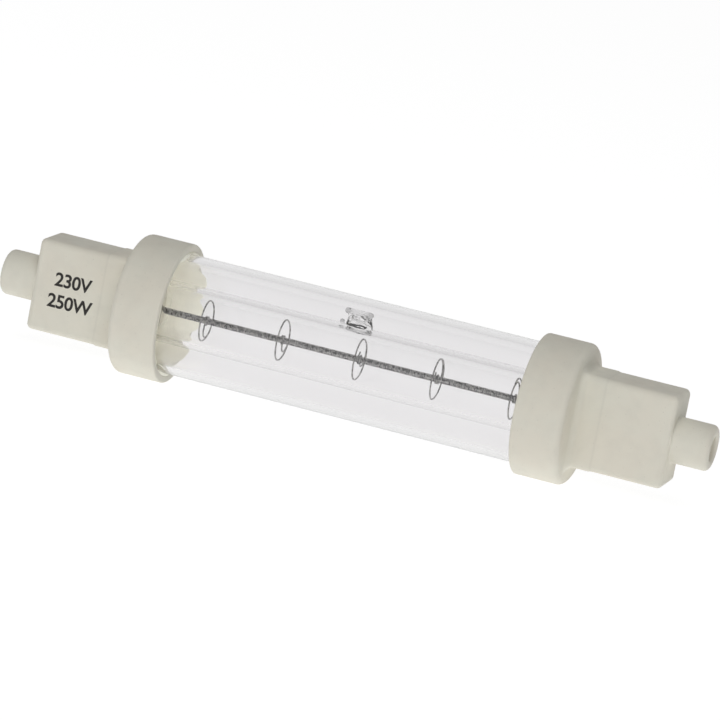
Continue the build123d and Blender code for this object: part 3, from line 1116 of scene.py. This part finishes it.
class LAMP_OT_supports(bpy.types.Operator):
    """Model the spiral supports that steady the filament"""

    bl_idname = "lamp.supports"
    bl_label = "Spiral Supports"

    def execute(self, context):
        sizes = context.scene.lamp_wire
        for number_along, node in enumerate(support_names):
            low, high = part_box(node)
            middle = (low.x + high.x) / 2
            loop = (high.z - low.z) / 2 - sizes.support_wire / 2
            points = self.spiral(sizes, middle, loop, number_along)
            support = trace(node.replace("filament_support", "spiral_support"), points)
            bpy.ops.object.mode_set(mode="OBJECT")
            bpy.ops.object.convert(target="CURVE")
            support = bpy.context.object
            support.data.dimensions = "3D"
            support.data.bevel_depth = sizes.support_wire / 2
            support.data.bevel_resolution = 2
            support.data.use_fill_caps = True
            bpy.ops.object.convert(target="MESH")
            support = bpy.context.object
            edit(support)
            bpy.ops.mesh.select_all(action="SELECT")
            bpy.ops.mesh.remove_doubles(threshold=MERGE)
            bpy.ops.mesh.normals_make_consistent(inside=False)
            close(support)
            smooth(support, limit=60.0)
            seat(support, tungsten_material(context), "tungsten", node)
        return {"FINISHED"}

    def spiral(self, sizes, middle, loop, number_along):
        """Points of a support: a tail, tight turns on the coil, a run out and an open loop."""
        grip = sizes.coil_radius + sizes.support_wire / 2
        start = number_along * sizes.support_turn
        steps_a_turn = 28
        points = []
        total = sizes.grip_turns + sizes.support_runout + sizes.support_loop
        count = int(total * steps_a_turn)
        begin = middle - sizes.grip_pitch * sizes.grip_turns / 2
        for step in range(count + 1):
            turns = total * step / count
            past = min(max((turns - sizes.grip_turns) / sizes.support_runout, 0.0), 1.0)
            radius = grip + (loop - grip) * eased(past)
            x = begin + sizes.grip_pitch * min(turns, sizes.grip_turns) * (1 - past / 2)
            turn = start + tau * turns
            points.append((x, radius * cos(turn), radius * sin(turn)))
        first = Vector(points[0])
        along = (first - Vector(points[1])).normalized()
        out = from_axis(first)
        points.insert(0, tuple(first + along * sizes.tail_run + out * sizes.tail_lift))
        return points


class LAMP_OT_jacket_cement(bpy.types.Operator):
    """Model the cement that beds the jacket in the cups, with beads over the mouth"""

    bl_idname = "lamp.jacket_cement"
    bl_label = "Jacket Cement"

    def execute(self, context):
        caps = context.scene.lamp_caps
        glass = context.scene.lamp_glass
        proud = caps.mouth - cement_low.x
        floor = caps.mouth + caps.socket_depth
        inner = glass.jacket_radius + caps.glass_gap
        bore = glass.jacket_radius - glass.jacket_wall
        bed = glass.jacket_half - glass.jacket_edge
        wide = caps.socket_radius
        gap = wide - inner
        front = [(share, inner + climb * gap) for share, climb in CEMENT_FRONT]
        middle = (proud - caps.bead_recess) / 2
        lean = (proud + caps.bead_recess) / 2
        profile = [(floor, wide), (caps.mouth + 2 * caps.bead_recess, wide)]
        profile += [(caps.mouth - share * middle, radius) for share, radius in front]
        profile += [(bed, inner), (bed, bore), (floor, bore), (floor, wide)]
        cement = turn_profile("right_mouth_cement", profile, steps=220)
        edit(cement)
        for share, _ in front:
            level = caps.mouth - share * middle
            pick("verts", lambda at: abs(at.x - level) < MERGE)
            tilt = atan2(share * lean, wide)
            bpy.ops.transform.rotate(value=-tilt, orient_axis="Z", center_override=(level, 0, 0))
        self.notch(caps, middle, lean)
        close(cement)
        smooth(cement, limit=50.0)
        other = turned_copy(cement, "left_mouth_cement")
        colours = context.scene.lamp_colours
        material = clay_material(
            "Cup cement", colours.cement, warm=0.12, grain=1.4, bump_depth=0.10 * MM, rough_shift=0.18
        )
        seat(cement, material, "cement", "right_jacket_cement")
        seat(other, material, "cement", "left_jacket_cement")
        return {"FINISHED"}

    def notch(self, caps, middle, lean):
        """Draw the front edge back between the beads."""
        for turn, depth in BEAD_NOTCHES:
            way = Vector((0, cos(radians(turn)), sin(radians(turn))))
            crest = caps.mouth - middle - lean * way.y + caps.crest_band
            pick("verts", lambda at: at.x < crest and from_axis(at).dot(way) > caps.notch_cosine)
            bpy.ops.transform.translate(
                value=(depth * MM, 0, 0), use_proportional_edit=True, proportional_edit_falloff="SMOOTH",
                proportional_size=caps.notch_reach,
            )


class LAMP_OT_contact_buttons(bpy.types.Operator):
    """Model the contacts in the noses"""

    bl_idname = "lamp.contact_buttons"
    bl_label = "Contact Buttons"

    def execute(self, context):
        caps = context.scene.lamp_caps
        radius = button_high.z
        edge = caps.button_edge
        dimple = caps.dimple_radius
        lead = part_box("right_outer_lead")[1]
        profile = [(lead.x, 0.0), (lead.x, lead.z), (button_low.x, lead.z), (button_low.x, radius)]
        profile += arc(button_high.x - edge, radius - edge, edge, 90, -90, steps=6)
        profile += [(button_high.x, dimple), (button_high.x - caps.dimple_wall, dimple * caps.dimple_floor)]
        profile += [(button_high.x - caps.dimple_depth, 0.0)]
        button = turn_profile("right_contact", profile, steps=72)
        smooth(button, limit=35.0)
        other = turned_copy(button, "left_contact")
        colours = context.scene.lamp_colours
        material = metal_material(
            "Nickel", colours.nickel,
            dark=(0.32, 0.30, 0.27), scale=700.0, roughness=0.34, bump_depth=0.006 * MM,
        )
        seat(button, material, "contact_metal", "right_contact_button")
        seat(other, material, "contact_metal", "left_contact_button")
        return {"FINISHED"}


class LAMP_OT_rating_print(bpy.types.Operator):
    """Print the rating on the left block"""

    bl_idname = "lamp.rating_print"
    bl_label = "Rating Print"

    def execute(self, context):
        caps = context.scene.lamp_caps
        deselect()
        bpy.ops.object.text_add(location=(0, 0, 0))
        words = bpy.context.object
        words.name = "rating_print"
        words.data.body = caps.rating
        words.data.align_x = "CENTER"
        words.data.align_y = "CENTER"
        words.data.size = caps.print_height / caps.print_cap_share
        words.data.space_line = caps.print_line / words.data.size
        words.data.offset = caps.print_weight
        words.data.space_character = caps.print_spacing
        words.data.resolution_u = 6
        bpy.ops.object.convert(target="MESH")
        words = bpy.context.object
        place = -(caps.mouth + caps.flange_length + caps.print_offset)
        spot = Matrix.Translation((place, -caps.block_thickness / 2, -caps.print_drop))
        words.matrix_world = spot @ Matrix.Rotation(pi / 2, 4, "X")
        close(words)
        apply_modifier(words, "SOLIDIFY", thickness=caps.print_depth, offset=1.0)
        smooth(words, limit=30.0)
        seat(words, ink_material(context.scene.lamp_colours.ink), "cap_ceramic")
        return {"FINISHED"}


class LAMP_OT_sealed_in_finish(bpy.types.Operator):
    """Finish the sealed-in leads, foils and pinch cement"""

    bl_idname = "lamp.sealed_in_finish"
    bl_label = "Sealed-in Finish"

    def execute(self, context):
        colours = context.scene.lamp_colours
        drawn = metal_material(
            "Molybdenum", colours.molybdenum,
            dark=(0.25, 0.24, 0.23), scale=900.0, roughness=0.36, bump_depth=0.004 * MM,
        )
        packing = clay_material(
            "Pinch cement", colours.cement, warm=0.3, grain=1.2, bump_depth=0.08 * MM, rough_shift=0.15
        )
        finishes = {"inner_lead": drawn, "outer_lead": drawn, "seal_foil": drawn, "pinch_cement": packing}
        for side in ("left", "right"):
            for piece, finish in finishes.items():
                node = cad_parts[f"{side}_{piece}"]
                node.data.materials.clear()
                node.data.materials.append(finish)
        return {"FINISHED"}


class LAMP_OT_stage(bpy.types.Operator):
    """Set the floor, the light and the camera"""

    bl_idname = "lamp.stage"
    bl_label = "Stage"

    def execute(self, context):
        stage = context.scene.lamp_stage
        self.floor(stage)
        self.world(stage)
        self.soft_light(stage)
        self.cup_light(stage)
        self.camera(stage)
        context.scene.view_settings.view_transform = "Standard"
        context.scene.cycles.max_bounces = BOUNCES
        context.scene.cycles.transmission_bounces = BOUNCES
        context.scene.cycles.transparent_max_bounces = BOUNCES
        return {"FINISHED"}

    def floor(self, stage):
        """A glowing white floor that keeps a soft shadow."""
        deselect()
        bpy.ops.mesh.primitive_plane_add(size=stage.floor_size, location=(0, 0, cad_low[2]))
        floor = bpy.context.object
        floor.name = "stage_floor"
        material, tree, shader, _ = new_material("Floor")
        shade = stage.floor_shade
        shader.inputs["Base Color"].default_value = (shade, shade, shade, 1.0)
        shader.inputs["Roughness"].default_value = 1.0
        shader.inputs["Specular IOR Level"].default_value = 0.0
        shader.inputs["Emission Color"].default_value = WHITE
        rays = tree.nodes.new("ShaderNodeLightPath")
        shiny = calc(tree, "MAXIMUM", rays.outputs["Is Glossy Ray"], rays.outputs["Is Transmission Ray"])
        through = calc(tree, "MULTIPLY", shiny, stage.floor_glow - stage.floor_through)
        dull_and_shade = calc(tree, "MULTIPLY", rays.outputs["Is Diffuse Ray"], stage.floor_glow - stage.floor_fill)
        glow = calc(tree, "SUBTRACT", stage.floor_glow, calc(tree, "MAXIMUM", through, dull_and_shade))
        tree.links.new(glow, shader.inputs["Emission Strength"])
        floor.data.materials.append(material)

    def world(self, stage):
        """White to the eye, and to glass and metal a white that fades overhead."""
        world = bpy.data.worlds.new("Studio")
        bpy.context.scene.world = world
        world.use_nodes = True
        tree = world.node_tree
        background = find_node(tree, "BACKGROUND")
        rays = tree.nodes.new("ShaderNodeLightPath")
        way = tree.nodes.new("ShaderNodeTexCoord").outputs["Generated"]
        height = add_node(tree, "ShaderNodeSeparateXYZ", Vector=way).outputs["Z"]
        fade = (stage.fade_start, stage.fade_end)
        seen = ranged(tree, height, fade, (stage.world_level, stage.world_top))
        shiny = calc(tree, "MAXIMUM", rays.outputs["Is Glossy Ray"], rays.outputs["Is Transmission Ray"])
        more = calc(tree, "MULTIPLY", calc(tree, "SUBTRACT", seen, stage.world_fill), shiny)
        lit = calc(tree, "ADD", more, stage.world_fill)
        eye = rays.outputs["Is Camera Ray"]
        level = calc(tree, "ADD", calc(tree, "MULTIPLY", calc(tree, "SUBTRACT", 1.0, lit), eye), lit)
        tree.links.new(level, background.inputs["Strength"])
        background.inputs["Color"].default_value = WHITE

    def area_light(self, stage, name, way, power):
        """A large soft light a metre away, unseen in glass and metal."""
        light = bpy.data.lights.new(name, "AREA")
        light.shape = "SQUARE"
        light.size = stage.light_size
        light.energy = power
        lamp = bpy.data.objects.new(name, light)
        bpy.context.scene.collection.objects.link(lamp)
        lamp.location = Vector(way).normalized()
        lamp.rotation_euler = lamp.location.to_track_quat("Z", "Y").to_euler()
        lamp.visible_glossy = False
        lamp.visible_transmission = False
        return lamp

    def soft_light(self, stage):
        """One large soft light above, in front and a little to the right."""
        self.area_light(stage, "soft_light", stage.key_way, stage.key_power)

    def cup_light(self, stage):
        """Light on the cement alone, in place of the light that thin ceramic lets through to it."""
        lamp = self.area_light(stage, "cup_light", stage.cup_way, stage.cup_power)
        lit = bpy.data.collections.new("lit_cement")
        for side in ("left", "right"):
            lit.objects.link(bpy.data.objects[f"{side}_mouth_cement"])
        shading = bpy.data.collections.new("cement_shading")
        shading.objects.link(bpy.data.objects["stage_floor"])
        lamp.light_linking.receiver_collection = lit
        lamp.light_linking.blocker_collection = shading

    def camera(self, stage):
        """Camera at the photograph's place, leaning so that the lamp slopes."""
        right = Vector((cos(stage.azimuth), sin(stage.azimuth), 0))
        back = Vector((
            sin(stage.azimuth) * cos(stage.elevation),
            -cos(stage.azimuth) * cos(stage.elevation),
            sin(stage.elevation),
        ))
        up = back.cross(right)
        leaned_right = right * cos(stage.roll) + up * sin(stage.roll)
        leaned_up = up * cos(stage.roll) - right * sin(stage.roll)
        camera = bpy.data.cameras.new("camera")
        camera.sensor_width = 36.0
        camera.lens = stage.lens
        camera.clip_start = 0.01
        camera.clip_end = 100.0
        eye = bpy.data.objects.new("camera", camera)
        bpy.context.scene.collection.objects.link(eye)
        pixel = stage.distance * camera.sensor_width / camera.lens / PICTURE_SIDE
        aim = (leaned_right * stage.aim_right + leaned_up * stage.aim_up) * pixel
        turn = Matrix((leaned_right, leaned_up, back)).transposed().to_4x4()
        eye.matrix_world = Matrix.Translation(aim + back * stage.distance) @ turn
        bpy.context.scene.camera = eye


# Panel and registration

class LAMP_PT_panel(bpy.types.Panel):
    """Steps of the lamp in the order in which they are run"""

    bl_idname = "LAMP_PT_panel"
    bl_label = "Heat Lamp"
    bl_space_type = "VIEW_3D"
    bl_region_type = "UI"
    bl_category = "Heat Lamp"

    def draw(self, context):
        for operator in operators:
            self.layout.operator(operator.bl_idname)


groups = {
    "lamp_glass": GlassSizes,
    "lamp_wire": WireSizes,
    "lamp_caps": CapSizes,
    "lamp_colours": LampColours,
    "lamp_stage": StageSettings,
}
operators = (
    LAMP_OT_end_caps,
    LAMP_OT_outer_jacket,
    LAMP_OT_burner,
    LAMP_OT_filament,
    LAMP_OT_supports,
    LAMP_OT_jacket_cement,
    LAMP_OT_contact_buttons,
    LAMP_OT_rating_print,
    LAMP_OT_sealed_in_finish,
    LAMP_OT_stage,
)


def register():
    for name, group in groups.items():
        bpy.utils.register_class(group)
        setattr(bpy.types.Scene, name, PointerProperty(type=group))
    for operator in operators:
        bpy.utils.register_class(operator)
    bpy.utils.register_class(LAMP_PT_panel)


def unregister():
    bpy.utils.unregister_class(LAMP_PT_panel)
    for operator in reversed(operators):
        bpy.utils.unregister_class(operator)
    for name, group in reversed(groups.items()):
        delattr(bpy.types.Scene, name)
        bpy.utils.unregister_class(group)


def main():
    register()
    bpy.ops.lamp.end_caps()
    bpy.ops.lamp.outer_jacket()
    bpy.ops.lamp.burner()
    bpy.ops.lamp.filament()
    bpy.ops.lamp.supports()
    bpy.ops.lamp.jacket_cement()
    bpy.ops.lamp.contact_buttons()
    bpy.ops.lamp.rating_print()
    bpy.ops.lamp.sealed_in_finish()
    bpy.ops.lamp.stage()


if __name__ == "__main__":
    main()
